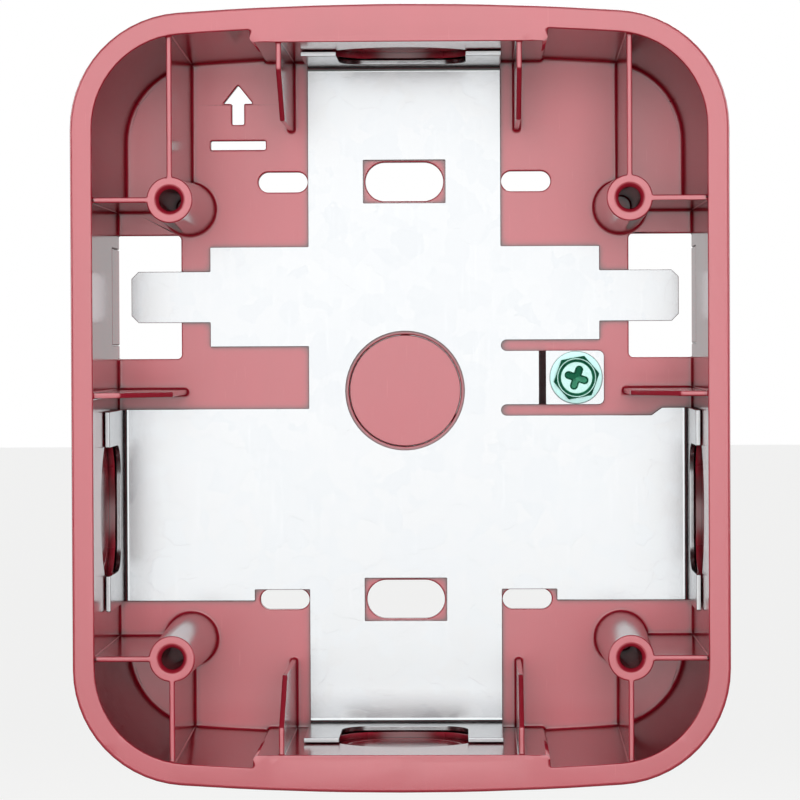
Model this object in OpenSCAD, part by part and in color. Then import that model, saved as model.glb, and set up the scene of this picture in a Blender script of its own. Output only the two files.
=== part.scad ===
// Surface-mount back box for a wall horn strobe: a moulded skirt with a galvanised ground bracket.
// Frame: X right, Z up, the open front towards -Y. The origin is the middle of the wall face.

/* [Skirt] */
// Width over the rim
box_w = 122.7; // [112:0.1:150]
// Height over the crests of the bowed ends
box_h = 146.9; // [138:0.1:180]
// Depth from the wall face to the rim
box_d = 50.5; // [42:0.5:64]
// Thickness of the floor
floor_t = 2.5; // [2:0.1:3.2]
// Radius of the outer corners
corner_r = 21.7; // [17:0.1:27]
// Radius of the bow along the top and the bottom
bow_r = 600; // [400:10:1500]
// Width of the rim's face
rim_w = 4.1; // [3.4:0.1:5]
// How far each outer wall leans in between the rim and the wall face
outer_draft = 1.25; // [0.6:0.05:1.6]
// How far the corner pockets lean in between the rim and the floor
inner_draft = 1.7; // [0.8:0.1:2.4]
// Half width of the thick pads in the middle of the top and the bottom
pad_half_w = 27.7; // [26:0.1:32]
// Radius of the pads' upright corners
pad_r = 0.9; // [0.4:0.1:2]
// Distance from a crest to the inner face of its pad
pad_inset = 7.05; // [6.4:0.05:8]
// Depth of the shelf along the front of each pad
shelf_drop = 0.4; // [0.3:0.1:1.2]
// Width of that shelf, from the pad's inner face
shelf_w = 3; // [2:0.1:4]
// Distance from a pad's end to the end of its shelf
shelf_inset = 2.8; // [2.2:0.1:5]

/* [Bosses and ribs] */
// Distance between bosses, both ways
boss_pitch = 85.7; // [78:0.1:90]
// Height of the boss pattern's middle over the box's middle
boss_mid = -5.6; // [-8:0.1:0]
// Diameter of a boss at its tip
boss_tip_d = 8.6; // [7.6:0.1:10]
// Diameter of a boss at the floor
boss_base_d = 10.3; // [9:0.1:12]
// Diameter of a boss's pilot bore
pilot_d = 4.1; // [3:0.1:5]
// Diameter of the lead-in over the bore
lead_in_d = 5.4; // [5.2:0.1:6.4]
// Depth of the lead-in
lead_in_t = 1.2; // [0.6:0.1:2]
// Floor left under a pilot bore
pilot_floor = 6; // [3:0.5:12]
// Set-back of the bosses and ribs from the rim
boss_drop = 1; // [0.5:0.1:3]
// Thickness of the ribs and gussets
rib_t = 1; // [0.8:0.1:1.4]
// Length of a gusset along the floor
gusset_l = 13.8; // [11:0.1:16]
// Length of a gusset's full-height part
gusset_land = 5; // [3:0.1:7]
// Height of a gusset's free edge over the floor
gusset_tip_h = 34; // [24:0.5:38]

/* [Floor] */
// Height of the fixing pattern's middle over the box's middle
fix_mid = 0.9; // [-1:0.1:2]
// Distance between the upper and lower screw slots
gang_pitch = 83.3; // [83:0.1:84]
// Distance from the middle to a small slot
small_slot_x = 24.2; // [23.6:0.1:25]
// Length of a small slot
small_slot_l = 9.8; // [8:0.1:11]
// Width of a small slot
small_slot_w = 4; // [3.6:0.1:5]
// Length of a large slot
large_slot_l = 15.5; // [12:0.1:18]
// Width of a large slot
large_slot_w = 7.7; // [5:0.1:9]
// Width of a rear entry, from the side wall inwards
entry_w = 12.65; // [10:0.1:13]
// Height of a rear entry
entry_h = 24.6; // [22:0.1:26]
// Corner radius of those openings
entry_r = 0.9; // [0.4:0.1:2]
// Middle of the rear entries over the box's middle
entry_mid = 19.7; // [18:0.1:21]

/* [Way-up sign] */
// Distance from the middle to the sign
sign_x = -33.1; // [-34:0.1:-31]
// Distance from the upper crest down to the arrow's point
sign_drop = 11.5; // [10:0.1:13]
// Width of the arrow's head
head_w = 5.9; // [4:0.1:7]
// Height of the arrow's head
head_h = 3.7; // [3:0.1:4.5]
// Width of the arrow's shaft
shaft_w = 2.4; // [1.6:0.1:3]
// Length of the whole arrow
arrow_l = 7.9; // [6:0.1:9]
// Length of the bar under the arrow
bar_l = 11; // [8:0.1:12]
// Thickness of the bar under the arrow
bar_t = 1.8; // [1.4:0.1:2.4]
// Gap between the arrow and the bar
bar_gap = 3.2; // [2:0.1:5]

/* [Bracket] */
// Thickness of the sheet
sheet_t = 0.9; // [0.7:0.05:1.2]
// Outer radius of the bends
bend_r = 1.8; // [1.6:0.1:2.4]
// Width of the vertical arms and of their flanges
arm_w = 38.4; // [34:0.1:40]
// Lower edge of the horizontal arm
arm_low = -41; // [-42:0.1:-40]
// Height of the flanges over the floor
flange_h = 29; // [24:0.5:32]
// Clearance between a flange and the wall behind it
flange_gap = 0.25; // [0.15:0.05:0.5]
// Half width of the upper bar
bar_half_w = 38.8; // [36:0.1:40]
// Height of the upper bar
bar_h = 19.9; // [18:0.1:21]
// Height of the tongues at its ends
tongue_h = 10.2; // [8:0.1:12]
// Clearance between a tongue's tip and the side wall
tongue_gap = 2.75; // [2:0.05:4]
// Chamfer on the tongues' corners
tongue_chamfer = 1.4; // [0.8:0.1:2]
// Width of the notch in a flange
notch_w = 24.7; // [22:0.1:28]
// Height of the notch's bottom over the floor
notch_h = 8; // [6:0.1:10]
// Corner radius of the notch
notch_r = 6; // [3:0.1:8]
// Margin of the windows round the large slots
window_gap = 0.4; // [0.2:0.1:1]
// Diameter of the hole in the middle
centre_d = 23.7; // [23.2:0.1:26]

/* [Ground screw] */
// Length of the ground tongue, from the arm's edge
ground_l = 20.4; // [19:0.1:22]
// Width of the ground tongue
ground_w = 10.8; // [10.6:0.1:12]
// Middle of the ground tongue over the box's middle
ground_mid = 3.4; // [3:0.1:3.8]
// Radius of the ground tongue's corners
ground_r = 1.2; // [0.4:0.1:2]
// Width of the slots above and below the tongue
relief_w = 2.1; // [1.6:0.1:2.4]
// Rise of the tongue's end over the floor
joggle_h = 2; // [1.5:0.1:2.6]
// Distance from the tongue's tip to the screw
screw_inset = 5.6; // [5.3:0.1:7]
// Thread's outer diameter
thread_d = 4.8; // [3.8:0.1:5]
// How far the shank's tip goes down into the floor's pocket
shank_reach = 1.7; // [1:0.1:1.8]
// Clearance round the tip in that pocket
pocket_gap = 0.4; // [0.3:0.1:0.6]
// Radial clearance of the shank in its tapped collar
thread_gap = 0.05; // [0.03:0.01:0.08]
// Wall of the collar under the tongue
collar_wall = 0.9; // [0.7:0.1:1.2]
// Height of that collar
collar_h = 1.2; // [0.8:0.1:1.3]
// Hex size of the head, across its flats
hex_af = 7.94; // [7:0.1:9]
// Turn of the hex at rest
hex_turn = 10.5; // [-30:0.5:30]
// Height of the head
head_t = 3; // [2.6:0.1:4]
// Diameter of the washer
washer_d = 10.5; // [9.6:0.1:11]
// Thickness of the washer
washer_t = 0.9; // [0.6:0.1:1.2]
// Radial clearance between the shank and the washer
washer_gap = 0.1; // [0.05:0.05:0.3]
// Turn of the cross recess at rest
cross_turn = -18; // [-45:1:45]
// Width of the cross recess's arms
cross_w = 1.4; // [0.9:0.1:1.6]
// Length of the cross recess, tip to tip
cross_l = 4.8; // [4:0.1:5.6]
// Depth of the cross recess
cross_t = 1.8; // [1:0.1:2.2]

/* [Knockouts] */
// Height of the wall knockouts' middle over the floor
ko_height = 20.5; // [19:0.5:24]
// Middle of the side knockouts over the box's middle
ko_side_mid = -21.8; // [-23:0.1:-20]
// Diameter of the smaller knockout
ko_small_d = 22.2; // [21:0.1:23]
// Diameter of the larger knockout
ko_large_d = 28.2; // [27:0.1:29]
// Diameter of the flat seat round a wall knockout
seat_d = 34; // [32:0.5:35]
// Thickness of the wall at a seat
seat_t = 2.8; // [2.4:0.1:3]
// Set-back of the wall knockouts from the wall's inner face
ko_sink = 1.2; // [0.4:0.1:1.4]
// Hairline gap round a knockout
ko_gap = 0.06; // [0.04:0.01:0.1]
// Width of the ties that hold a knockout
tie_w = 1.6; // [1:0.1:2.4]
// Thickness of those ties
tie_t = 0.7; // [0.4:0.1:1]
// Width of a raceway knockout
raceway_w = 19; // [16:0.1:21]
// Depth of a raceway knockout, from the wall face
raceway_h = 14; // [10:0.1:16]
// Thickness of a raceway knockout
raceway_t = 1.6; // [1.2:0.1:2]
// Margin of the recess round a raceway knockout
raceway_rim = 1; // [0.6:0.1:1.6]

/* [Hidden] */
$fn = 64;

slab = 0.01;                             // thickness of the sheets that a drafted shape spans
past = 1;                                // how far a cut runs past the face it starts from
inner_half_w = box_w / 2 - rim_w;        // side wall's inner face
pad_face = box_h / 2 - pad_inset;        // pad's inner face
inner_r = corner_r - rim_w;
boss_top = box_d - boss_drop;
arm_half = arm_w / 2;
gusset_x = arm_half + 3.2;               // beside the flanges
sheet_top = floor_t + sheet_t;
bend_x = inner_half_w - flange_gap - bend_r;
bend_z = pad_face - flange_gap - bend_r;
bar_low = entry_mid - bar_h / 2;
ground_top = ground_mid + ground_w / 2;
ground_low = ground_mid - ground_w / 2;
arm_top = ground_low - relief_w + 1.5;   // the left half's edge is higher than the tongue's relief
side_gusset_z = arm_top + 3.4;
ground_x = arm_half + ground_l - screw_inset;
joggle_x = arm_half + 7.9;
joggle_run = 1.3;
clamp_top = floor_t + joggle_h + sheet_t;
sign_tip = box_h / 2 - sign_drop;
shank_l = washer_t + sheet_t + joggle_h + shank_reach;
ko_level = floor_t + ko_height;
red = "#B5313B";
steel = "#D5D8DA";
green = "#1B7A5A";

// Stands a piece up: what is drawn rising from the wall along +Z faces -Y.
module stand() {
    rotate([90, 0, 0]) children();
}

// Height of the centre of the corner arcs of an outline, where each arc meets the bow smoothly.
function corner_y(hw, hh, r) = hh - bow_r + sqrt(pow(bow_r - r, 2) - pow(hw - r, 2));

// A quarter of the outline: the corner arc, then half of the bow.
function quarter(hw, hh, r) =
    let (cx = hw - r, cy = corner_y(hw, hh, r), turn = atan2(cy - hh + bow_r, cx))
    concat(
        [for (i = [0:14]) [cx + r * cos(turn * i / 14), cy + r * sin(turn * i / 14)]],
        [for (i = [1:8]) let (a = turn + (90 - turn) * i / 8) [bow_r * cos(a), hh - bow_r + bow_r * sin(a)]]
    );

// The whole outline, from its half width, its half height at the crest and its corner radius.
function outline(hw, hh, r) =
    let (q = quarter(hw, hh, r), n = len(q))
    concat(
        q,
        [for (i = [n - 2:-1:0]) [-q[i][0], q[i][1]]],
        [for (p = q) [-p[0], -p[1]]],
        [for (i = [n - 2:-1:0]) [q[i][0], -q[i][1]]]
    );

// Height of the middle of the wall over a place in a corner.
function wall_y(x) =
    let (inset = rim_w / 2, r = corner_r - inset, hw = box_w / 2 - inset, dx = max(abs(x) - hw + r, 0))
    corner_y(hw, box_h / 2 - inset, r) + sqrt(r * r - dx * dx);

// A sheet of the outline, made smaller all round by an inset.
module outline_sheet(inset, t) {
    linear_extrude(t) polygon(outline(box_w / 2 - inset, box_h / 2 - inset, corner_r - inset));
}

// The outside of the skirt, leaning in towards the wall.
module skirt_solid() {
    hull() {
        outline_sheet(outer_draft, slab);
        translate([0, 0, box_d - slab]) outline_sheet(0, slab);
    }
}

// The space inside: drafted at the corners, straight between the bosses' ribs.
module cavity() {
    hull() {
        translate([0, 0, floor_t]) outline_sheet(rim_w + inner_draft, slab);
        translate([0, 0, box_d]) outline_sheet(rim_w, past);
    }
    translate([-inner_half_w, boss_mid - boss_pitch / 2, floor_t])
        cube([2 * inner_half_w, boss_pitch, box_d]);
}

// A pad in the middle of the top wall, its corners round, with a shelf along its front.
module pad() {
    back = box_h / 2 - rim_w + 0.8;
    shelf_end = pad_half_w - shelf_inset;
    shelf_flat = shelf_end - 2;
    difference() {
        translate([0, 0, floor_t - slab])
            linear_extrude(box_d - floor_t + slab) {
                translate([-pad_half_w, pad_face + pad_r])
                    square([2 * pad_half_w, back - pad_face - pad_r]);
                translate([-pad_half_w + pad_r, pad_face])
                    square([2 * (pad_half_w - pad_r), back - pad_face]);
                for (s = [-1, 1])
                    translate([s * (pad_half_w - pad_r), pad_face + pad_r]) circle(pad_r);
            }
        translate([0, 0, box_d - shelf_drop])
            linear_extrude(past)
                polygon([
                    [-shelf_end, pad_face - past], [-shelf_end, pad_face + shelf_w / 3],
                    [-shelf_flat, pad_face + shelf_w], [shelf_flat, pad_face + shelf_w],
                    [shelf_end, pad_face + shelf_w / 3], [shelf_end, pad_face - past],
                ]);
    }
}

// One screw boss with a rib to the side wall and one to the end wall.
module boss(sx, sy) {
    x = sx * boss_pitch / 2;
    y = boss_mid + sy * boss_pitch / 2;
    end_x = sx * (box_w / 2 - rim_w / 2);
    end_y = sy * wall_y(x);
    translate([x, y, floor_t - slab])
        cylinder(h = boss_top - floor_t + slab, d1 = boss_base_d, d2 = boss_tip_d);
    translate([min(x, end_x), y - rib_t / 2, floor_t - slab])
        cube([abs(end_x - x), rib_t, boss_top - floor_t + slab]);
    translate([x - rib_t / 2, min(y, end_y), floor_t - slab])
        cube([rib_t, abs(end_y - y), boss_top - floor_t + slab]);
}

// The bore and lead-in of one boss.
module boss_bore(sx, sy) {
    translate([sx * boss_pitch / 2, boss_mid + sy * boss_pitch / 2, 0]) {
        translate([0, 0, floor_t + pilot_floor])
            cylinder(h = box_d, d = pilot_d);
        widening = (lead_in_d - pilot_d) / lead_in_t;
        translate([0, 0, boss_top - lead_in_t])
            cylinder(h = lead_in_t + past, d1 = pilot_d, d2 = lead_in_d + widening * past);
    }
}

// A gusset that runs along +X from its free edge to a wall face.
module gusset(face) {
    translate([0, rib_t / 2, 0])
        rotate([90, 0, 0])
            linear_extrude(rib_t)
                polygon([
                    [face + rim_w / 4, floor_t - slab], [face - gusset_l, floor_t - slab],
                    [face - gusset_l, floor_t + gusset_tip_h], [face - gusset_land, boss_top],
                    [face + rim_w / 4, boss_top],
                ]);
}

// A slot with round ends, along X, cut from below.
module slot(l, w, t) {
    linear_extrude(t) {
        square([l - w, w], center = true);
        for (s = [-1, 1])
            translate([s * (l - w) / 2, 0]) circle(d = w);
    }
}

// A cable entry from X 0, its two inner corners round, cut from below.
module entry(t) {
    linear_extrude(t) {
        translate([0, -entry_h / 2]) square([entry_w - entry_r, entry_h]);
        translate([entry_w / 2, entry_r - entry_h / 2]) square([entry_w / 2, entry_h - 2 * entry_r]);
        for (s = [-1, 1])
            translate([entry_w - entry_r, s * (entry_h / 2 - entry_r)]) circle(entry_r);
    }
}

// The arrow and bar that say which way up the box goes.
module way_up_sign() {
    translate([sign_x, sign_tip, -past])
        linear_extrude(floor_t + 2 * past) {
            polygon([[0, 0], [-head_w / 2, -head_h], [head_w / 2, -head_h]]);
            translate([-shaft_w / 2, -arrow_l]) square([shaft_w, arrow_l - head_h / 2]);
            translate([-bar_l / 2, -arrow_l - bar_gap - bar_t]) square([bar_l, bar_t]);
        }
}

// What is cut through the floor.
module floor_cuts() {
    cut_t = floor_t + 2 * past;
    for (s = [-1, 1])
        translate([0, fix_mid + s * gang_pitch / 2, -past]) {
            slot(large_slot_l, large_slot_w, cut_t);
            for (side = [-1, 1])
                translate([side * small_slot_x, 0, 0]) slot(small_slot_l, small_slot_w, cut_t);
        }
    for (side = [-1, 1])
        translate([side * inner_half_w, entry_mid, -past]) rotate([0, 0, side > 0 ? 180 : 0]) entry(cut_t);
    translate([0, fix_mid, -past]) cylinder(h = cut_t, d = ko_small_d + 2 * ko_gap);
    translate([ground_x, ground_mid, floor_t - shank_reach - pocket_gap])
        cylinder(h = cut_t, d = thread_d + 2 * pocket_gap);
    way_up_sign();
}

// Places a wall knockout: drawn in XY with +Z outwards and the seat's inner face at Z 0.
module at_wall(wall) {
    if (wall == "top") translate([0, pad_face, ko_level]) rotate([-90, 0, 0]) children();
    if (wall == "bottom") translate([0, -pad_face, ko_level]) rotate([90, 0, 0]) children();
    if (wall == "left") translate([-inner_half_w, ko_side_mid, ko_level]) rotate([0, -90, 0]) children();
    if (wall == "right") translate([inner_half_w, ko_side_mid, ko_level]) rotate([0, 90, 0]) children();
}

// The hole and the flat seat outside it, for one wall knockout.
module conduit_cut() {
    translate([0, 0, seat_t]) cylinder(h = pad_inset, d = seat_d);
    translate([0, 0, -past]) cylinder(h = seat_t + 2 * past, d = ko_large_d + 2 * ko_gap);
}

// The recess and the opening of one raceway knockout.
module raceway_cut(side) {
    w = raceway_w + 2 * ko_gap;
    h = raceway_h + ko_gap;
    start = inner_half_w - past;
    translate([0, entry_mid, 0]) {
        translate([side > 0 ? start : -start - 2 * rim_w, -w / 2, -past])
            cube([2 * rim_w, w, h + past]);
        translate([side > 0 ? inner_half_w + raceway_t : -inner_half_w - raceway_t - rim_w,
                   -w / 2 - raceway_rim, -past])
            cube([rim_w, w + 2 * raceway_rim, h + raceway_rim + past]);
    }
}

// The skirt: walls, floor, pads, bosses, ribs and gussets in one moulding.
module back_box() {
    color(red) stand() difference() {
        union() {
            difference() {
                skirt_solid();
                cavity();
            }
            pad();
            mirror([0, 1, 0]) pad();
            for (sx = [-1, 1], sy = [-1, 1]) boss(sx, sy);
            for (side = [0, 180]) {
                for (x = [-gusset_x, gusset_x])
                    rotate([0, 0, side]) translate([x, 0, 0]) rotate([0, 0, 90]) gusset(pad_face);
            }
            for (side = [0, 1])
                translate([0, side_gusset_z, 0]) mirror([side, 0, 0]) gusset(inner_half_w);
        }
        for (sx = [-1, 1], sy = [-1, 1]) boss_bore(sx, sy);
        floor_cuts();
        for (wall = ["top", "bottom", "left", "right"]) at_wall(wall) conduit_cut();
        for (side = [-1, 1]) raceway_cut(side);
    }
}

// Flat outline of the bracket's right or left half, without the ground tongue.
module half_plate(side, bar_edge, arm_edge) {
    x0 = side > 0 ? 0 : -bar_half_w;
    translate([x0, bar_edge])
        square([bar_half_w, entry_mid + bar_h / 2 - bar_edge]);
    tip = inner_half_w - tongue_gap;
    y = entry_mid - tongue_h / 2;
    scale([side, 1])
        polygon([
            [bar_half_w - past, y], [tip - tongue_chamfer, y], [tip, y + tongue_chamfer],
            [tip, y + tongue_h - tongue_chamfer], [tip - tongue_chamfer, y + tongue_h],
            [bar_half_w - past, y + tongue_h],
        ]);
    jog = arm_top - arm_edge;
    scale([side, 1])
        polygon([
            [0, arm_low], [bend_x, arm_low], [bend_x, arm_top],
            [bend_x - 5.6 + jog, arm_top], [bend_x - 5.6 - jog * 0.4, arm_edge], [0, arm_edge],
        ]);
}

// A flange's section: the bend, then the upright.
module flange_section() {
    translate([0, bend_r]) {
        intersection() {
            difference() {
                circle(bend_r);
                circle(bend_r - sheet_t);
            }
            translate([0, -bend_r]) square(bend_r);
        }
        translate([bend_r - sheet_t, 0]) square([sheet_t, flange_h - bend_r]);
    }
}

// A flange whose bend starts at X 0, with the notch that clears a conduit fitting.
module flange(w) {
    difference() {
        rotate([90, 0, 0]) linear_extrude(w, center = true) flange_section();
        translate([bend_r - sheet_t - past, 0, 0])
            rotate([90, 0, 90])
                linear_extrude(sheet_t + 2 * past) {
                    translate([-notch_w / 2 + notch_r, notch_h]) square([notch_w - 2 * notch_r, flange_h]);
                    translate([-notch_w / 2, notch_h + notch_r]) square([notch_w, flange_h]);
                    for (s = [-1, 1])
                        translate([s * (notch_w / 2 - notch_r), notch_h + notch_r]) circle(notch_r);
                }
    }
}

// The ground tongue's section along X: flat, the joggle, then the raised end.
module ground_section() {
    end = arm_half + ground_l;
    polygon([
        [arm_half - past, 0], [joggle_x, 0], [joggle_x + joggle_run, joggle_h], [end, joggle_h],
        [end, joggle_h + sheet_t], [joggle_x + joggle_run - 0.4, joggle_h + sheet_t],
        [joggle_x - 0.4, sheet_t], [arm_half - past, sheet_t],
    ]);
}

// The bracket: a cross of sheet on the floor, four flanges and the ground tongue.
module ground_bracket() {
    color(steel) stand() translate([0, 0, floor_t]) difference() {
        union() {
            linear_extrude(sheet_t) {
                translate([-arm_half, -bend_z]) square([arm_w, 2 * bend_z]);
                half_plate(-1, bar_low, arm_top);
                half_plate(1, ground_top + relief_w, ground_low - relief_w);
                translate([arm_half - past, ground_low - relief_w])
                    square([relief_w / 2 + past, ground_w + 2 * relief_w]);
            }
            for (side = [0, 180]) {
                rotate([0, 0, side + 90]) translate([bend_z, 0, 0]) flange(arm_w);
            }
            for (side = [0, 1])
                mirror([side, 0, 0])
                    translate([bend_x, (arm_low + arm_top) / 2, 0]) flange(arm_top - arm_low);
            translate([0, ground_mid, 0])
                rotate([90, 0, 0]) linear_extrude(ground_w, center = true) ground_section();
            translate([ground_x, ground_mid, joggle_h - collar_h])
                cylinder(h = collar_h, d = thread_d + 2 * (thread_gap + collar_wall));
        }
        // Windows over the large slots, the middle hole and the tapped hole.
        for (s = [-1, 1])
            translate([0, fix_mid + s * gang_pitch / 2, sheet_t / 2])
                cube([large_slot_l + 2 * window_gap, large_slot_w + 2 * window_gap, sheet_t + 2 * past],
                     center = true);
        translate([0, fix_mid, -past]) cylinder(h = sheet_t + 2 * past, d = centre_d);
        translate([ground_x, ground_mid, -past])
            cylinder(h = joggle_h + sheet_t + 2 * past, d = thread_d + 2 * thread_gap);
        // Round inner ends of the slots beside the tongue.
        for (y = [ground_top + relief_w / 2, ground_low - relief_w / 2])
            translate([arm_half + relief_w / 2, y, -past]) cylinder(h = sheet_t + 2 * past, d = relief_w);
        // Round corners at the tongue's tip.
        for (side = [-1, 1])
            translate([arm_half + ground_l - ground_r, ground_mid + side * (ground_w / 2 - ground_r), -past])
                rotate([0, 0, side > 0 ? 0 : -90])
                    linear_extrude(joggle_h + sheet_t + 2 * past)
                        difference() {
                            square(ground_r + past);
                            circle(ground_r);
                        }
        // Notches that clear the lower small slots.
        for (side = [-1, 1])
            translate([side * (arm_half + small_slot_x + small_slot_l / 2 + 1) / 2,
                       fix_mid - gang_pitch / 2 - past, sheet_t / 2])
                cube([small_slot_x + small_slot_l / 2 + 1 - arm_half, small_slot_w + 2 * past,
                      sheet_t + 2 * past], center = true);
    }
}

// The hex head, its chamfered crown, the cross recess and the shank.
module ground_screw() {
    hex_d = hex_af / cos(30);
    color(green) stand() translate([ground_x, ground_mid, clamp_top + washer_t]) {
        difference() {
            intersection() {
                rotate([0, 0, hex_turn]) cylinder(h = head_t, d = hex_d, $fn = 6);
                cylinder(h = head_t, d1 = hex_d + 2 * head_t, d2 = hex_af - 0.4);
            }
            translate([0, 0, head_t - cross_t])
                rotate([0, 0, cross_turn])
                    for (a = [0, 90])
                        rotate([0, 0, a]) translate([-cross_l / 2, -cross_w / 2, 0])
                            cube([cross_l, cross_w, cross_t + past]);
        }
        translate([0, 0, -shank_l]) cylinder(h = shank_l + slab, d = thread_d);
    }
}

// The flat clamp washer, kept on the shank.
module ground_washer() {
    color("#C8EBEB") stand() translate([ground_x, ground_mid, clamp_top]) difference() {
        cylinder(h = washer_t, d = washer_d);
        translate([0, 0, -past]) cylinder(h = washer_t + 2 * past, d = thread_d + 2 * washer_gap);
    }
}

// Three thin ties from a knockout's edge to the hole it closes.
module ties(inner_d, outer_d) {
    for (a = [0:120:240])
        intersection() {
            difference() {
                cylinder(h = tie_t, d = outer_d);
                translate([0, 0, -past]) cylinder(h = tie_t + 2 * past, d = inner_d);
            }
            rotate([0, 0, a + 90]) translate([0, -tie_w / 2, 0]) cube([outer_d, tie_w, tie_t]);
        }
}

// The smaller conduit knockout.
module knockout_disc(t) {
    cylinder(h = t, d = ko_small_d);
    ties(ko_small_d - 1, ko_small_d + 2 * ko_gap);
}

// The step from the smaller conduit size to the larger.
module knockout_ring(t) {
    difference() {
        cylinder(h = t, d = ko_large_d);
        translate([0, 0, -past]) cylinder(h = t + 2 * past, d = ko_small_d + 2 * ko_gap);
    }
    ties(ko_large_d - 1, ko_large_d + 2 * ko_gap);
}

module wall_disc(wall) {
    color(red) stand() at_wall(wall) translate([0, 0, ko_sink]) knockout_disc(seat_t - ko_sink);
}

module wall_ring(wall) {
    color(red) stand() at_wall(wall) translate([0, 0, ko_sink]) knockout_ring(seat_t - ko_sink);
}

module rear_knockout_disc() {
    color(red) stand() translate([0, fix_mid, 0]) knockout_disc(floor_t);
}

// A thin tab in a side wall at the wall face, for a surface raceway.
module raceway_knockout(side) {
    x = side > 0 ? inner_half_w : -inner_half_w - raceway_t;
    color(red) stand() translate([x, entry_mid, 0]) {
        translate([0, -raceway_w / 2, 0]) cube([raceway_t, raceway_w, raceway_h]);
        for (s = [-1, 1])
            translate([0, s * raceway_w / 4 - tie_w / 2, raceway_h - tie_t])
                cube([tie_t, tie_w, tie_t + ko_gap]);
    }
}

back_box();
ground_bracket();
ground_screw();
ground_washer();
wall_ring("top");  // top_knockout_ring
wall_disc("top");  // top_knockout_disc
wall_ring("bottom");  // bottom_knockout_ring
wall_disc("bottom");  // bottom_knockout_disc
wall_ring("left");  // left_knockout_ring
wall_disc("left");  // left_knockout_disc
wall_ring("right");  // right_knockout_ring
wall_disc("right");  // right_knockout_disc
rear_knockout_disc();
raceway_knockout(-1);  // left_raceway_knockout
raceway_knockout(1);  // right_raceway_knockout
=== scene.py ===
import math

import bmesh
import bpy
import numpy as np
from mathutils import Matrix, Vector


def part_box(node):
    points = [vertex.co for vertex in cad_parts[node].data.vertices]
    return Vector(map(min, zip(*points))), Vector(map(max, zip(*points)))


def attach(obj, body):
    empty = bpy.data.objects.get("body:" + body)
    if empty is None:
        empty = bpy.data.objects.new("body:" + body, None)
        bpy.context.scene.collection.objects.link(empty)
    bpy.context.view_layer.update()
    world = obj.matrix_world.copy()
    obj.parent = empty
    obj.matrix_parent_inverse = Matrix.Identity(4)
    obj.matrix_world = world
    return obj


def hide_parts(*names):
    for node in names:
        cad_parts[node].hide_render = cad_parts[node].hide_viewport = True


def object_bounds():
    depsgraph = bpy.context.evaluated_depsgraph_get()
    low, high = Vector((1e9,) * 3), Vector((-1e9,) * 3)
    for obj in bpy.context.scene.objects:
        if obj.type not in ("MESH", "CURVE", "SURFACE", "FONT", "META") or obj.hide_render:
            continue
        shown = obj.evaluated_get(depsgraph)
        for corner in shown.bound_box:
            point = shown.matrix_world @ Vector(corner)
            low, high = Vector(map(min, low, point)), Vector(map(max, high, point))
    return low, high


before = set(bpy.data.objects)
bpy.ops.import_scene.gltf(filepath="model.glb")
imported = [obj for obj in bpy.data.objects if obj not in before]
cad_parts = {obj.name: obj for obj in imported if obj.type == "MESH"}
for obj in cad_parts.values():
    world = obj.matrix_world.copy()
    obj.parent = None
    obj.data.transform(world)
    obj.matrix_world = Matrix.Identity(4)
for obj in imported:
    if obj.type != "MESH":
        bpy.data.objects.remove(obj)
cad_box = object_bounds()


# ---------------------------------------------------------------------------------------------
# The skirt: one red injection moulding, walls, floor, bosses and ribs together. The tool leaves a
# fine satin grain on floor and rim, a softer radius round the outer edge of the rim, and small radii
# in every corner so that the plastic flows and the part leaves the mould.
# ---------------------------------------------------------------------------------------------

EDGE = 0.00030          # radius of an ordinary moulded edge, metres
RIM_EDGE = 0.0006       # radius round the outside of the rim
SHELF_EDGE = 0.00018    # radius along the shelves on the rim
FLOOR_FILLET = 0.0006   # radius at the foot of walls, ribs and bosses
RIM_Y = cad_box[0][1]   # the rim's face, the front of the whole object
FLOOR_T = 0.0025        # thickness of the floor, whose back is at Y = 0
PAD_FACE = 0.0664       # the face of the top and bottom pads, along Z
PAD_HALF, PAD_R = 0.0277, 0.0009  # half a pad's width, radius of its round corners
SHELF_HALF = 0.0262     # the shelf on a pad is within this X
SHELF_FROM, SHELF_TOP = 0.0662, 0.0702  # and between these, along Z
SHELF_DEPTH = 0.0006    # the shelf's floor is less than this behind the rim's face
SLOPE, NARROWED = 0.5, 0.94  # what soften_shelves keeps of the floor's height and of its width
SHARP = math.radians(28)  # two faces that meet at more than this share a real edge
FLAT = math.radians(0.6)  # faces within this of each other are one face
TINY = 3e-5             # edges shorter than this are slivers, and points this near a plane are on it
WELD, ON_CUT = 1e-6, 2e-6  # points nearer than this are one point, or lie on a cut


def linear(colour):
    """An sRGB hex colour as linear RGBA: the sRGB curve undone, channel by channel."""
    parts = [int(colour[i:i + 2], 16) / 255 for i in (0, 2, 4)]
    return [c / 12.92 if c <= 0.04045 else ((c + 0.055) / 1.055) ** 2.4 for c in parts] + [1.0]


def add(material, kind, inputs=None, **settings):
    """Adds a node: settings are its properties, inputs its sockets, linked or set by value."""
    made = material.node_tree.nodes.new(kind)
    for name, value in settings.items():
        setattr(made, name, value)
    for name, value in (inputs or {}).items():
        if isinstance(value, bpy.types.NodeSocket):
            material.node_tree.links.new(value, made.inputs[name])
        else:
            made.inputs[name].default_value = value
    return made


def new_material(name):
    """A node material that holds no node yet."""
    material = bpy.data.materials.new(name)
    material.use_nodes = True
    material.node_tree.nodes.clear()
    return material


def finish_material(material, shader):
    """Links a shader to a new output node."""
    add(material, "ShaderNodeOutputMaterial", {"Surface": shader.outputs[0]})
    return material


def ramp(material, value, stops):
    """A colour ramp: stops are pairs of place and linear RGBA or grey."""
    made = add(material, "ShaderNodeValToRGB", {"Fac": value})
    keys = made.color_ramp.elements
    while len(keys) < len(stops):
        keys.new(0.5)
    for key, (place, colour) in zip(keys, stops):
        key.position = place
        key.color = colour if isinstance(colour, list) else [colour, colour, colour, 1]
    return made.outputs["Color"]


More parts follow.
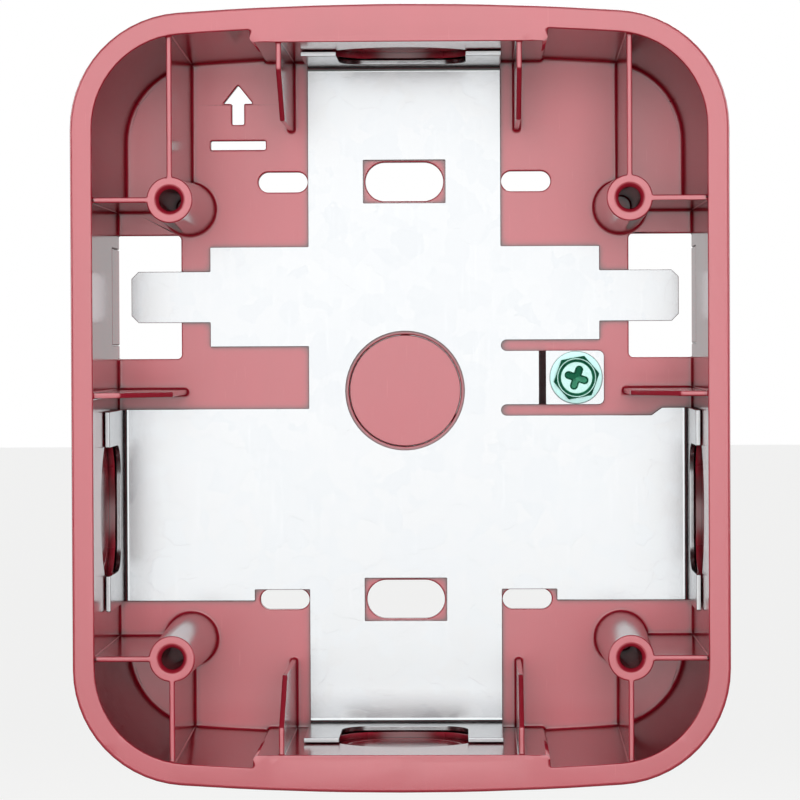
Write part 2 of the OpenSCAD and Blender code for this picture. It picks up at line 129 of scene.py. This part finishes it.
def moulded_red():
    """Polycarbonate and ABS blend, injection moulded, a deep red all through.

    The faces square to the draw keep the tool's grain; the walls along the draw are polished. Faint
    flow marks run from the gate, and handling leaves a few hair scratches. Inside corners carry painted
    shade: the colour darkens close to them.
    """
    m = new_material("moulded_red_plastic")
    coords = add(m, "ShaderNodeTexCoord")
    place = coords.outputs["Object"]
    cloud = add(m, "ShaderNodeTexNoise", {"Vector": place, "Scale": 38.0, "Detail": 4.0})
    streak_place = add(m, "ShaderNodeMapping", {"Vector": place, "Scale": (1.0, 0.5, 0.2)})
    streak = add(m, "ShaderNodeTexNoise",
                 {"Vector": streak_place.outputs[0], "Scale": 120.0, "Detail": 5.0, "Distortion": 0.5})
    grain = add(m, "ShaderNodeTexNoise", {"Vector": place, "Scale": 2600.0, "Detail": 2.0})
    hair_place = add(m, "ShaderNodeMapping", {"Vector": place, "Rotation": (0.0, 0.6, 0.0),
                                              "Scale": (60.0, 1.0, 2.0)})
    hair = add(m, "ShaderNodeTexNoise", {"Vector": hair_place.outputs[0], "Scale": 60.0, "Detail": 3.0})
    hairs = ramp(m, hair.outputs["Fac"], [(0.68, 0.0), (0.74, 1.0)])
    marks = add(m, "ShaderNodeMix", {"Factor": 0.4, "A": cloud.outputs["Fac"],
                                     "B": streak.outputs["Fac"]}, data_type="FLOAT")
    body = ramp(m, marks.outputs[0], [(0.3, linear("AC1F33")), (0.7, linear("B52A3E"))])
    worn = add(m, "ShaderNodeMix", {"A": body, "B": linear("CB5A66")}, data_type="RGBA")
    faint = add(m, "ShaderNodeMath", {0: hairs, 1: 0.3}, operation="MULTIPLY")
    m.node_tree.links.new(faint.outputs[0], worn.inputs["Factor"])
    facing = add(m, "ShaderNodeSeparateXYZ", {0: coords.outputs["Normal"]})
    square = add(m, "ShaderNodeMath", {0: facing.outputs["Y"]}, operation="ABSOLUTE")
    grained = add(m, "ShaderNodeMapRange", {"Value": square.outputs[0], "From Min": 0.5, "From Max": 0.95,
                                            "To Min": 0.11, "To Max": 0.28})
    rough = add(m, "ShaderNodeMath", {0: marks.outputs[0], 1: 0.08, 2: grained.outputs[0]},
                operation="MULTIPLY_ADD")
    height = add(m, "ShaderNodeMath", {0: streak.outputs["Fac"], 1: 0.6, 2: grain.outputs["Fac"]},
                 operation="MULTIPLY_ADD")
    bump = add(m, "ShaderNodeBump", {"Height": height.outputs[0], "Strength": 0.3, "Distance": 0.00002})
    # Painted shade: the colour darkens within about 1.7 mm of every inside corner, where little light
    # reaches.
    near = add(m, "ShaderNodeAmbientOcclusion", {"Distance": 0.0017}, samples=6)
    corner = ramp(m, near.outputs["AO"], [(0.5, 0.18), (0.86, 1.0)])
    corner_shaded = add(m, "ShaderNodeMix", {"Factor": 1.0, "A": worn.outputs["Result"], "B": corner},
                 data_type="RGBA", blend_type="MULTIPLY")
    shader = add(m, "ShaderNodeBsdfPrincipled",
                 {"Base Color": corner_shaded.outputs["Result"], "Roughness": rough.outputs[0],
                  "Normal": bump.outputs[0], "IOR": 1.62, "Specular IOR Level": 1.0})
    return finish_material(m, shader)


def merged(node, cuts=((), (), ())):
    """A CAD node's mesh as a bmesh: corners at one place joined, faces in one plane joined.

    The cuts are places along X, Y and Z where its faces are split, so that no face holds a hole.
    """
    bm = bmesh.new()
    bm.from_mesh(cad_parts[node].data)
    bmesh.ops.remove_doubles(bm, verts=bm.verts, dist=WELD)
    bmesh.ops.dissolve_degenerate(bm, dist=TINY, edges=bm.edges)
    bmesh.ops.dissolve_limit(bm, angle_limit=FLAT, verts=bm.verts, edges=bm.edges)
    for axis, places in enumerate(cuts):
        for place in places:
            normal = Vector((axis == 0, axis == 1, axis == 2))
            bmesh.ops.bisect_plane(bm, geom=bm.verts[:] + bm.edges[:] + bm.faces[:],
                                   plane_co=normal * place, plane_no=normal, dist=ON_CUT)
    return bm


def finished_piece(node, name, body, material, edge=EDGE, special=(), cuts=((), (), ()),
                   reshape=None):
    """A piece from a CAD node, its real edges rounded.

    special lists pairs of a test and the radius of the edges that pass it; all others take edge.
    reshape works on the copy before that.
    """
    bm = merged(node, cuts)
    if reshape:
        reshape(bm)
        bm.normal_update()
    width = max([edge] + [radius for test, radius in special])
    weight = bm.edges.layers.float.new("bevel_weight_edge")
    for e in bm.edges:
        if len(e.link_faces) == 2 and e.calc_face_angle(0) > SHARP:
            e[weight] = next((radius for test, radius in special if test(e)), edge) / width
    mesh = bpy.data.meshes.new(name)
    bm.to_mesh(mesh)
    bm.free()
    mesh.shade_smooth()
    piece = bpy.data.objects.new(name, mesh)
    bpy.context.scene.collection.objects.link(piece)
    mesh.materials.append(material)
    bevel = piece.modifiers.new("edges", "BEVEL")
    bevel.limit_method = "WEIGHT"
    bevel.width = width
    bevel.segments = 3
    bevel.use_clamp_overlap = False
    bevel.miter_outer = "MITER_ARC"
    normals = piece.modifiers.new("flats", "WEIGHTED_NORMAL")
    normals.keep_sharp = True
    normals.weight = 100
    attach(piece, body)
    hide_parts(node)


def outer_rim(e):
    """True for the edge between the rim's face and the outside of the skirt.

    The face on the outside looks away from the middle of the box, and hardly forwards.
    """
    if any(abs(v.co.y - RIM_Y) > TINY for v in e.verts):
        return False
    middle = (e.verts[0].co + e.verts[1].co) / 2
    outward = [f for f in e.link_faces if f.normal.dot(Vector((middle.x, 0, middle.z))) > 0.02]
    return len(outward) == 1 and abs(outward[0].normal.y) < 0.3


def floor_fillet(e):
    """True for the inside corners where walls, ribs, bosses and gussets stand on the floor."""
    return not e.is_convex and all(abs(v.co.y + FLOOR_T) < TINY for v in e.verts)


def on_shelf(place, nearest):
    """True for a point of a rim shelf that is farther than nearest behind the rim's face."""
    return (RIM_Y + nearest < place.y < RIM_Y + SHELF_DEPTH and abs(place.x) < SHELF_HALF
            and SHELF_FROM < abs(place.z) < SHELF_TOP)


def rim_shelf(e):
    """True for the edges of the shallow shelf along the front of the top and bottom pads."""
    return all(on_shelf(v.co, -TINY) for v in e.verts)


def soften_shelves(bm):
    """Draws the floor of each rim shelf in from its outline, so that its wall becomes a gentle slope.

    Every point of the floor keeps a share of its distance from the pad's face and of its X.
    """
    for v in bm.verts:
        if on_shelf(v.co, SHELF_DEPTH / 2):
            away = abs(v.co.z) - PAD_FACE
            v.co.z = math.copysign(PAD_FACE + away * SLOPE, v.co.z)
            v.co.x *= NARROWED


def pad_corner(e):
    """True for the edges on the round corners of the pads, which are round enough as they are."""
    return all(PAD_HALF - PAD_R - TINY < abs(v.co.x) < PAD_HALF + TINY
               and PAD_FACE - TINY < abs(v.co.z) < PAD_FACE + PAD_R + TINY
               and v.co.y < -FLOOR_T - TINY for v in e.verts)


red = moulded_red()
# Where the skirt's flat faces are split, along X, Y and Z: in line with the slots, the notches of
# the walls and the steps of the floor.
BOX_CUTS = (
    (-0.053, -0.04285, -0.0331, -0.0242, 0.0, 0.0242, 0.034, 0.04285, 0.053),
    (-0.023, -0.007),
    (-0.064, -0.04845, -0.04075, -0.0218, 0.0009, 0.0034, 0.0197, 0.03725, 0.04255, 0.0486, 0.058, 0.064),
)
finished_piece("back_box", "moulded_skirt", "box", red, EDGE,
               ((outer_rim, RIM_EDGE), (rim_shelf, SHELF_EDGE), (pad_corner, 0.0),
                (floor_fillet, FLOOR_FILLET)), BOX_CUTS, soften_shelves)


# ---------------------------------------------------------------------------------------------
# The knockouts: round slugs in the four walls and the floor, and a tab in each side wall. They are
# the same plastic as the skirt, scored round so that a tap with a screwdriver breaks them out.
# ---------------------------------------------------------------------------------------------

SCORE_EDGE = 0.00022    # radius along a score, which leaves a small groove

for wall in ("top", "bottom", "left", "right"):
    for part in ("disc", "ring"):
        finished_piece(f"{wall}_knockout_{part}", f"{wall}_conduit_{part}", "box", red,
                       SCORE_EDGE)
finished_piece("rear_knockout_disc", "rear_conduit_disc", "box", red, SCORE_EDGE)
for side in ("left", "right"):
    finished_piece(f"{side}_raceway_knockout", f"{side}_raceway_tab", "box", red,
                   SCORE_EDGE)


# ---------------------------------------------------------------------------------------------
# The ground bracket: a cross of hot-dip galvanised sheet, blanked, pierced and bent up. Zinc
# freezes in faint spangles, and the press leaves light rubs on the flats.
# ---------------------------------------------------------------------------------------------

SHEET_EDGE = 0.00012    # roll-over along a blanked edge


def galvanised_steel():
    """Galvanised sheet: zinc on steel, dull mirror, each spangle a slightly different grey."""
    m = new_material("galvanised_sheet")
    place = add(m, "ShaderNodeTexCoord").outputs["Object"]
    bend = add(m, "ShaderNodeTexNoise", {"Vector": place, "Scale": 220.0, "Detail": 3.0})
    warped = add(m, "ShaderNodeMix", {"Factor": 0.006, "A": place, "B": bend.outputs["Color"]},
                 data_type="VECTOR")
    spangle = add(m, "ShaderNodeTexVoronoi", {"Vector": warped.outputs["Result"], "Scale": 260.0})
    grey = add(m, "ShaderNodeSeparateColor", {"Color": spangle.outputs["Color"]})
    rub_place = add(m, "ShaderNodeMapping", {"Vector": place, "Rotation": (0.0, 0.35, 0.0),
                                             "Scale": (14.0, 14.0, 1.0)})
    rub = add(m, "ShaderNodeTexNoise", {"Vector": rub_place.outputs[0], "Scale": 90.0, "Detail": 6.0,
                                        "Roughness": 0.75})
    rubs = ramp(m, rub.outputs["Fac"], [(0.56, 0.0), (0.75, 1.0)])
    cloud = add(m, "ShaderNodeTexNoise", {"Vector": place, "Scale": 60.0, "Detail": 5.0})
    tone = add(m, "ShaderNodeMix", {"Factor": 0.45, "A": cloud.outputs["Fac"],
                                    "B": grey.outputs[0]}, data_type="FLOAT")
    zinc = ramp(m, tone.outputs[0], [(0.2, linear("A4A6A8")), (0.8, linear("ABACAD"))])
    body = add(m, "ShaderNodeMix", {"A": zinc, "B": linear("B3B4B5")}, data_type="RGBA")
    faint = add(m, "ShaderNodeMath", {0: rubs, 1: 0.3}, operation="MULTIPLY")
    m.node_tree.links.new(faint.outputs[0], body.inputs["Factor"])
    rough = add(m, "ShaderNodeMapRange", {"Value": tone.outputs[0], "To Min": 0.16, "To Max": 0.25})
    height = add(m, "ShaderNodeMath", {0: grey.outputs[1], 1: 0.5, 2: cloud.outputs["Fac"]},
                 operation="MULTIPLY_ADD")
    bump = add(m, "ShaderNodeBump", {"Height": height.outputs[0], "Strength": 0.25, "Distance": 0.00003})
    shader = add(m, "ShaderNodeBsdfPrincipled",
                 {"Base Color": body.outputs["Result"], "Metallic": 1.0, "Roughness": rough.outputs[0],
                  "Normal": bump.outputs[0]})
    return finish_material(m, shader)


zinc_sheet = galvanised_steel()
# Where the sheet's flat faces are split, along X, Y and Z: in line with the arms, slots and tongue.
BRACKET_CUTS = (
    (-0.053, -0.0247, 0.0, 0.0247, 0.034, 0.053), (-0.0197,),
    (-0.06, -0.0411, -0.04075, -0.0218, 0.0009, 0.0034, 0.0197, 0.04255, 0.06),
)
finished_piece("ground_bracket", "ground_cross", "box", zinc_sheet, SHEET_EDGE,
               cuts=BRACKET_CUTS)


# ---------------------------------------------------------------------------------------------
# The clamp washer: a turned and plated steel ring under the screw's head, bright zinc with the
# blue-green tint of its passivation.
# ---------------------------------------------------------------------------------------------

TAU = 2 * math.pi
CREASE = math.radians(38)  # turned and headed faces that meet at more than this look sharp
WASHER_HOLE = 0.0025
WASHER_EDGE = 0.00018
washer_low, washer_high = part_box("ground_washer")
AXIS_X = (washer_low.x + washer_high.x) / 2
AXIS_Z = (washer_low.z + washer_high.z) / 2


def to_mesh(name, grid, caps=(True, True), flip=False):
    """A mesh from a grid of points [rows, columns, xyz]: columns go round, rows go along.

    caps says whether the first and the last row are closed by a face, flip turns every face over.
    """
    rows, cols = grid.shape[:2]
    points = grid.reshape(-1, 3)
    i = np.arange(rows - 1)[:, None]
    j = np.arange(cols)[None, :]
    k = (j + 1) % cols
    corners = [i * cols + j, i * cols + k, (i + 1) * cols + k, (i + 1) * cols + j]
    quads = np.stack(corners, -1).reshape(-1, 4)
    faces = (quads[:, ::-1] if flip else quads).tolist()
    ends = [list(range(cols))[::-1], list(range((rows - 1) * cols, rows * cols))]
    for keep, loop in zip(caps, ends):
        if keep:
            faces.append(loop[::-1] if flip else loop)
    mesh = bpy.data.meshes.new(name)
    mesh.from_pydata(points.tolist(), [], faces)
    mesh.update()
    return mesh


def screw_place(x, z, up, base):
    """Points in the frame, from x and z across the screw's axis and up along -Y from base."""
    return np.stack([AXIS_X + x, base - up, AXIS_Z + z], -1)


def lathe(name, radii, heights, base, turns=96):
    """A closed turned shape: each (radius, height) of the profile carried round the screw's axis."""
    a = np.arange(turns) * TAU / turns
    r, h = np.array(radii)[:, None], np.array(heights)[:, None]
    grid = screw_place(r * np.cos(a), r * np.sin(a), h + 0 * a, base)
    mesh = to_mesh(name, np.concatenate([grid, grid[:1]]), caps=(False, False))
    bm = bmesh.new()
    bm.from_mesh(mesh)
    bmesh.ops.remove_doubles(bm, verts=bm.verts, dist=1e-7)
    bmesh.ops.recalc_face_normals(bm, faces=bm.faces)
    bm.to_mesh(mesh)
    bm.free()
    return mesh


def show(mesh, material, body, slot, *nodes):
    """Puts a finished mesh in the scene as a piece that stands for CAD nodes."""
    piece = bpy.data.objects.new(mesh.name, mesh)
    bpy.context.scene.collection.objects.link(piece)
    mesh.materials.append(material)
    mesh.shade_smooth()
    mesh.set_sharp_from_angle(angle=CREASE)
    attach(piece, body)
    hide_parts(*nodes)


def rounded(points, radius, steps=4):
    """A closed profile with its corners rounded, each by a quadratic blend from side to side."""
    out = []
    n = len(points)
    for i in range(n):
        a, b, c = (np.array(points[(i + d) % n], float) for d in (-1, 0, 1))
        p = b + (a - b) / np.linalg.norm(a - b) * radius
        q = b + (c - b) / np.linalg.norm(c - b) * radius
        for s in range(steps + 1):
            t = s / steps
            out.append((1 - t) ** 2 * p + 2 * t * (1 - t) * b + t * t * q)
    return np.array(out)


def plated(name, low, high, roughness, highlight_colour=None):
    """Zinc plated steel under a fine coloured film, uneven as barrel plating leaves it.

    Where highlight_colour is given, the mesh's own "film" value goes from that pale colour at 0 to the
    full dye at 1: the pale colour, on bare metal, is a painted highlight.
    """
    m = new_material(name)
    place = add(m, "ShaderNodeTexCoord").outputs["Object"]
    film = add(m, "ShaderNodeTexNoise", {"Vector": place, "Scale": 900.0, "Detail": 4.0})
    nicks = add(m, "ShaderNodeTexNoise", {"Vector": place, "Scale": 4200.0, "Detail": 3.0})
    body = ramp(m, film.outputs["Fac"], [(0.3, linear(low)), (0.7, linear(high))])
    metal = 1.0
    if highlight_colour:
        # The film value: 1 is the full dye, 0 is the pale painted highlight on bare metal.
        depth = add(m, "ShaderNodeAttribute", attribute_name="film")
        body = add(m, "ShaderNodeMix", {"Factor": depth.outputs["Fac"], "A": linear(highlight_colour), "B": body},
                   data_type="RGBA").outputs["Result"]
        metal = add(m, "ShaderNodeMapRange", {"Value": depth.outputs["Fac"], "To Min": 1.0,
                                              "To Max": 0.35}).outputs[0]
    rough = add(m, "ShaderNodeMapRange", {"Value": film.outputs["Fac"], "From Min": 0.3, "From Max": 0.7,
                                          "To Min": roughness - 0.05, "To Max": roughness + 0.07})
    bump = add(m, "ShaderNodeBump", {"Height": nicks.outputs["Fac"], "Strength": 0.3, "Distance": 0.00001})
    shader = add(m, "ShaderNodeBsdfPrincipled",
                 {"Base Color": body, "Metallic": metal, "Roughness": rough.outputs[0],
                  "Normal": bump.outputs[0]})
    return finish_material(m, shader)


washer_r = (washer_high.x - washer_low.x) / 2
washer_t = washer_high.y - washer_low.y
profile = rounded([(WASHER_HOLE, 0), (washer_r, 0), (washer_r, washer_t), (WASHER_HOLE, washer_t)],
                  WASHER_EDGE)
show(lathe("clamp_washer", profile[:, 0], profile[:, 1], washer_high.y),
     plated("passivated_zinc", "94B8B4", "A6C4C1", 0.30), "clamp", "zinc_washer", "ground_washer")


# ---------------------------------------------------------------------------------------------
# The ground screw: cold-headed hex with a cross recess and a rolled thread, zinc plated and dyed
# green, the colour that marks a protective earth.
# ---------------------------------------------------------------------------------------------

HEX_FLATS = 0.00794
HEAD_T = 0.0030
CHAMFER = 0.75          # fall of the chamfer for each distance outwards
LAND, LAND_HALF = 0.00374, 0.0001  # middle and half width of the land inside the chamfer
DISH_R, DISH_DEPTH = 0.00312, 0.00036  # the dish's floor ends here, this far under the land
CROSS_R = 0.00240       # reach of the cross
CROSS_HALF = 0.00074    # half the width of a bar
CROSS_MIDDLE = 0.00112  # radius of the recess's round middle
CROSS_DEPTH, CROSS_RISE = 0.0015, 0.55  # depth in the middle, and the share of it lost at CROSS_R
CROSS_WALL = 0.00022    # width of the sloping wall round the cross
CROSS_TURN, HEX_TURN = math.radians(-18), math.radians(10.5)
HIGHLIGHT_FADE, LAND_FADE = 0.00012, 0.00009  # widths over which the dye fades into the painted highlight, on the dish and the land
SEAT_RISE, SEAT_SHARE = 0.00012, 0.985  # the underside of the head is a little smaller than its sides
PITCH = 0.00079375
THREAD_R, THREAD_DEPTH = 0.0024, 0.00042
RUN_OUT_FROM, RUN_OUT_SHARE = 0.02, 0.1  # shares of the shank, from the head
TIP_TAPER, TIP_SHARE = 0.0006, 0.12  # what the radius loses at the tip, over this share of the shank
RINGS, SPOKES = 120, 300  # points on the head, along its radius and round it
TURN_ROWS, TURN_COLS = 22, 48  # points on one turn of the thread, along it and round it
screw_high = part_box("ground_screw")[1]
head_base = washer_low.y


def hex_radius(a):
    """Distance from the axis to a hexagon's side in direction a, one corner at the hex's turn."""
    return HEX_FLATS / 2 / np.cos((a - HEX_TURN) % (math.pi / 3) - math.pi / 6)


def into_cross(x, z):
    """How far a point lies inside the cross: half a bar's width less the distance to its middle line.

    The round middle of the recess counts as well.
    """
    u = x * math.cos(CROSS_TURN) + z * math.sin(CROSS_TURN)
    v = z * math.cos(CROSS_TURN) - x * math.sin(CROSS_TURN)
    reach = CROSS_R - CROSS_HALF
    bars = [CROSS_HALF - np.hypot(across, np.maximum(np.abs(along) - reach, 0))
            for along, across in ((u, v), (v, u))]
    return np.maximum(np.maximum(*bars), CROSS_MIDDLE - np.hypot(x, z))


def crown(x, z):
    """Height of the head over its seat: chamfer cone, land, dish, and the cross that deepens inwards."""
    r = np.hypot(x, z)
    top = HEAD_T - np.maximum(r - LAND - LAND_HALF, 0) * CHAMFER
    dish = DISH_DEPTH * np.clip((LAND - LAND_HALF - r) / (LAND - LAND_HALF - DISH_R), 0, 1)
    sides = np.clip(into_cross(x, z) / CROSS_WALL, 0, 1)
    return top - dish - CROSS_DEPTH * (1 - CROSS_RISE * r / CROSS_R) * sides


def dye_and_painted_highlight(x, z):
    """Dye on the head: full on the slopes and in the cross; on the dish and the land it gives way to a
    pale painted highlight.
    """
    r = np.hypot(x, z)
    on_dish = np.clip((DISH_R - r) / HIGHLIGHT_FADE, 0, 1) * np.clip(-into_cross(x, z) / HIGHLIGHT_FADE, 0, 1)
    on_land = np.clip(1.6 - np.abs(r - LAND) / LAND_FADE, 0, 0.8)
    return 1 - 0.94 * np.maximum(on_dish, on_land)


def with_dye_and_highlight(mesh, depths):
    """Writes each point's dye and painted highlight onto the mesh, where the material reads it."""
    mesh.attributes.new("film", "FLOAT", "POINT").data.foreach_set("value", depths.ravel())
    return mesh


a = np.arange(SPOKES)[None, :] * TAU / SPOKES
inwards = np.linspace(1, 0.004, RINGS)[:, None]
edge = hex_radius(a)
x, z = inwards * edge * np.cos(a), inwards * edge * np.sin(a)
face = screw_place(x, z, crown(x, z), head_base)
wall_low = screw_place(edge * np.cos(a), edge * np.sin(a), SEAT_RISE + 0 * a, head_base)
seat = screw_place(edge * SEAT_SHARE * np.cos(a), edge * SEAT_SHARE * np.sin(a), 0 * a, head_base)
head = np.concatenate([seat, wall_low, face])
# The head's top: full dye on its slopes and in the cross, a painted highlight on its dish and land.
head_dye_and_highlight = np.concatenate([np.ones((2, SPOKES)), dye_and_painted_highlight(x, z)])

# The thread's radius falls from crest to root and back once in each pitch, along a helix, and is
# clipped so that both are flat. Under the head the groove runs out; at the tip the thread tapers.
shank_l = screw_high.y - head_base
t = np.linspace(0, 1, int(shank_l / PITCH * TURN_ROWS))[:, None]
turn = np.arange(TURN_COLS)[None, :] * TAU / TURN_COLS
depth = np.abs(((t * shank_l / PITCH - turn / TAU) % 1) - 0.5) * 2
groove = THREAD_DEPTH * np.clip(depth * 1.25 - 0.12, 0, 1)
run_out = np.clip((t - RUN_OUT_FROM) / RUN_OUT_SHARE, 0, 1)
point = np.clip((1 - t) / TIP_SHARE, 0, 1)
radius = THREAD_R - groove * run_out - TIP_TAPER * (1 - point)
thread = screw_place(radius * np.cos(turn), radius * np.sin(turn), -t * shank_l + 0 * turn, head_base)

# 9AB7B3 is the pale colour of the painted highlight on the screw head's dish and land.
green = plated("green_dyed_zinc", "14694C", "1F8561", 0.28, "9AB7B3")
show(with_dye_and_highlight(to_mesh("ground_screw_head", head), head_dye_and_highlight), green, "screw", "green_screw",
     "ground_screw")
show(with_dye_and_highlight(to_mesh("ground_screw_thread", thread, flip=True), np.ones(thread.shape[:2])), green,
     "screw", "green_screw", "ground_screw")


# ---------------------------------------------------------------------------------------------
# The studio: a pale floor well below the box, which hangs as it would on its wall. A key light behind
# the camera lights the matt surfaces, a white card above it is what the glossy ones mirror, and weak
# lights stand at both sides and behind. The camera looks into the open side.
# ---------------------------------------------------------------------------------------------

CAMERA_AWAY = 0.658     # camera to the rim
CAMERA_X, CAMERA_Z = 0.0142, 0.0104
AIM_Z = -0.0002
LENS = 159.3
ROLL = math.radians(0.25)
FLOOR_HALF, FLOOR_Z = 12.0, -0.36
FLOOR_LIFT = 0.76       # light the floor adds to its own picture, and to nothing else
WORLD_DARK, WORLD_LIGHT = 0.09, 0.6  # the world in front of the box, and from its side backwards
KEY_POWER, CARD_POWER, SIDE_POWER, BACK_POWER = 12.8, 35.5, 7, 14

floor_mesh = bpy.data.meshes.new("studio_floor")
floor_mesh.from_pydata([(sx * FLOOR_HALF, sy * FLOOR_HALF, FLOOR_Z)
                        for sx, sy in ((-1, -1), (1, -1), (1, 1), (-1, 1))], [], [(0, 1, 2, 3)])
floor = bpy.data.objects.new("studio_floor", floor_mesh)
bpy.context.scene.collection.objects.link(floor)
pale = new_material("pale_floor")
ray_kind = add(pale, "ShaderNodeLightPath")
lift = add(pale, "ShaderNodeMath", {0: ray_kind.outputs["Is Camera Ray"], 1: FLOOR_LIFT},
           operation="MULTIPLY")
matt_floor = add(pale, "ShaderNodeBsdfPrincipled",
                 {"Base Color": linear("72726F"), "Roughness": 0.8, "Emission Color": (1, 1, 1, 1),
                  "Emission Strength": lift.outputs[0]})
floor_mesh.materials.append(finish_material(pale, matt_floor))


def soft_light(name, place, size, power, aim=(0, 0, 0), matt=True, gloss=True):
    """A square area light at a place, turned to an aim: matt or glossy surfaces can be left out."""
    data = bpy.data.lights.new(name, "AREA")
    data.shape = "SQUARE"
    data.size = size
    data.energy = power
    lamp = bpy.data.objects.new(name, data)
    lamp.location = place
    lamp.rotation_euler = (Vector(aim) - Vector(place)).to_track_quat("-Z", "Y").to_euler()
    lamp.visible_diffuse = matt
    lamp.visible_glossy = gloss
    bpy.context.scene.collection.objects.link(lamp)


soft_light("key_light", (0.02, -1.45, 0.12), 0.55, KEY_POWER, gloss=False)
soft_light("white_card", (-0.1, -1.46, 0.77), 2.15, CARD_POWER, (-0.1, 0, 0.77), matt=False)
soft_light("left_light", (-1.4, 0.1, 0.35), 0.9, SIDE_POWER)
soft_light("right_light", (1.4, 0.1, 0.35), 0.9, SIDE_POWER)
soft_light("back_light", (0.3, 1.5, 1.1), 1.0, BACK_POWER)

world = bpy.data.worlds.new("studio")
bpy.context.scene.world = world
world.use_nodes = True
world.node_tree.nodes.clear()
seen = add(world, "ShaderNodeLightPath")
ray = add(world, "ShaderNodeSeparateXYZ", {0: add(world, "ShaderNodeTexCoord").outputs["Generated"]})
backdrop = add(world, "ShaderNodeMapRange",
               {"Value": ray.outputs["Y"], "From Min": -0.4, "From Max": 0.0,
                "To Min": WORLD_DARK, "To Max": WORLD_LIGHT})
# The eye always sees white; only what the surfaces mirror and gather depends on the direction.
glow = add(world, "ShaderNodeMath", {0: backdrop.outputs[0], 1: seen.outputs["Is Camera Ray"]},
           operation="MAXIMUM")
white = add(world, "ShaderNodeBackground", {"Color": (1, 1, 1, 1), "Strength": glow.outputs[0]})
add(world, "ShaderNodeOutputWorld", {"Surface": white.outputs[0]})

camera_data = bpy.data.cameras.new("camera")
camera_data.sensor_width = 36
camera_data.lens = LENS
camera = bpy.data.objects.new("camera", camera_data)
camera.location = (CAMERA_X, RIM_Y - CAMERA_AWAY, CAMERA_Z)
aim = Vector((0, RIM_Y, AIM_Z)) - camera.location
camera.rotation_euler = aim.to_track_quat("-Z", "Y").to_euler()
camera.rotation_euler.rotate_axis("Z", -ROLL)
bpy.context.scene.collection.objects.link(camera)
bpy.context.scene.camera = camera
bpy.context.scene.view_settings.view_transform = "Standard"
